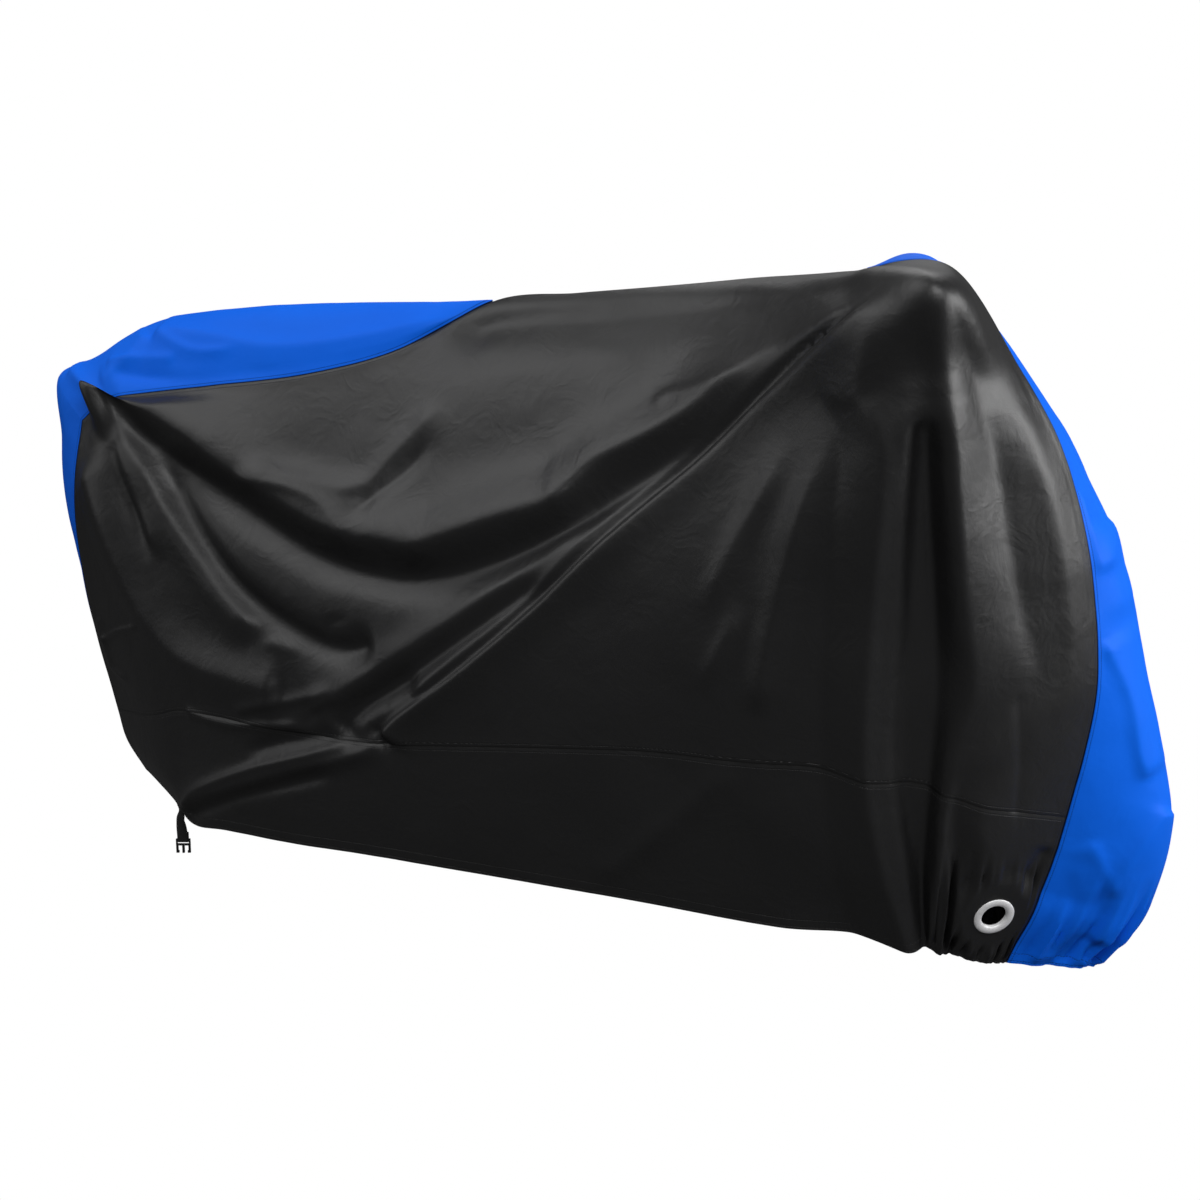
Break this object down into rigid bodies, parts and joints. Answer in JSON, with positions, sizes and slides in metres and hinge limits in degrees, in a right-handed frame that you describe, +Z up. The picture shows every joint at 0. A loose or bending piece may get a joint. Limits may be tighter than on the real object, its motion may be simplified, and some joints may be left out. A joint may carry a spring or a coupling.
{
  "type": "motorcycle cover",
  "caption": "Fitted cloth cover draped over a motorcycle shape, hollow and open below, with black sides, blue nose and tail panels, lock hole rings and a belly strap.",
  "frame": {"origin": "underside of the top ridge at mid length, where the cover rests on what it covers", "axes": "+X toward the nose, +Y toward the side away from the camera, +Z up"},
  "size_m": [2.1052, 0.7784, 1.1535],
  "materials": {
    "black_cloth": "black coated polyester with a soft satin sheen",
    "blue_cloth": "blue coated polyester with a soft satin sheen",
    "silver_ring": "silver coated ring",
    "webbing": "black woven webbing",
    "black_plastic": "moulded black plastic"
  },
  "bodies": {
    "root": {"side_upper_near": "black_cloth", "side_upper_far": "black_cloth", "side_lower_near": "black_cloth", "side_lower_far": "black_cloth", "nose_panel": "blue_cloth", "tail_panel": "blue_cloth", "eyelet_near": "silver_ring", "eyelet_far": "silver_ring", "strap_near": "webbing", "strap_far": "webbing", "buckle_near": "black_plastic", "buckle_far": "black_plastic"}
  },
  "joints": []
}
